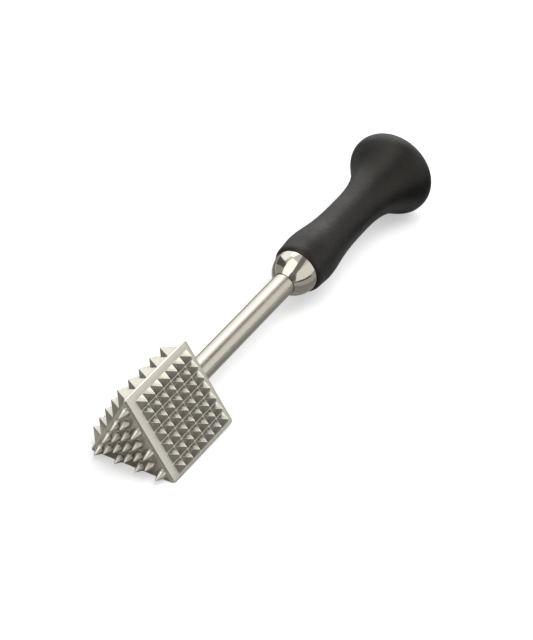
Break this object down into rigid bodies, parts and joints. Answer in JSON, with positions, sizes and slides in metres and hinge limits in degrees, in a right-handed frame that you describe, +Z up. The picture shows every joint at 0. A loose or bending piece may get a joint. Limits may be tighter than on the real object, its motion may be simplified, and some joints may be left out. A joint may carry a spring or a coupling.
{
  "type": "meat tenderizer",
  "caption": "Hand mallet for meat: three-sided cast head with fine and coarse pyramids, a smooth side and end spikes, on a steel shaft with a rubber grip and wide palm rest.",
  "frame": {"origin": "on the table, under the handle's axis, halfway along the tool's length", "axes": "+X from the head to the butt, +Z up from the table, +Y to the side of the coarse pyramids; the tool lies on the front edge of its smooth side and on the rim of its palm rest, so the handle's axis rises by two degrees towards the butt"},
  "size_m": [0.2586, 0.0517, 0.0474],
  "materials": {
    "cast_head": "sand-blasted casting, satin",
    "shaft_steel": "satin drawn tube",
    "ferrule_polish": "mirror polished",
    "grip_rubber": "moulded, soft matt",
    "core_plastic": "moulded",
    "fastener_steel": "bright zinc plated",
    "plug_plastic": "moulded, fine matt"
  },
  "bodies": {
    "root": {"head": "cast_head", "shaft_tube": "shaft_steel", "tie_rod": "fastener_steel", "ferrule": "ferrule_polish", "handle_core": "core_plastic", "grip": "grip_rubber", "flat_washer": "fastener_steel", "spring_washer": "fastener_steel", "lock_nut": "fastener_steel", "end_plug": "plug_plastic"}
  },
  "joints": []
}
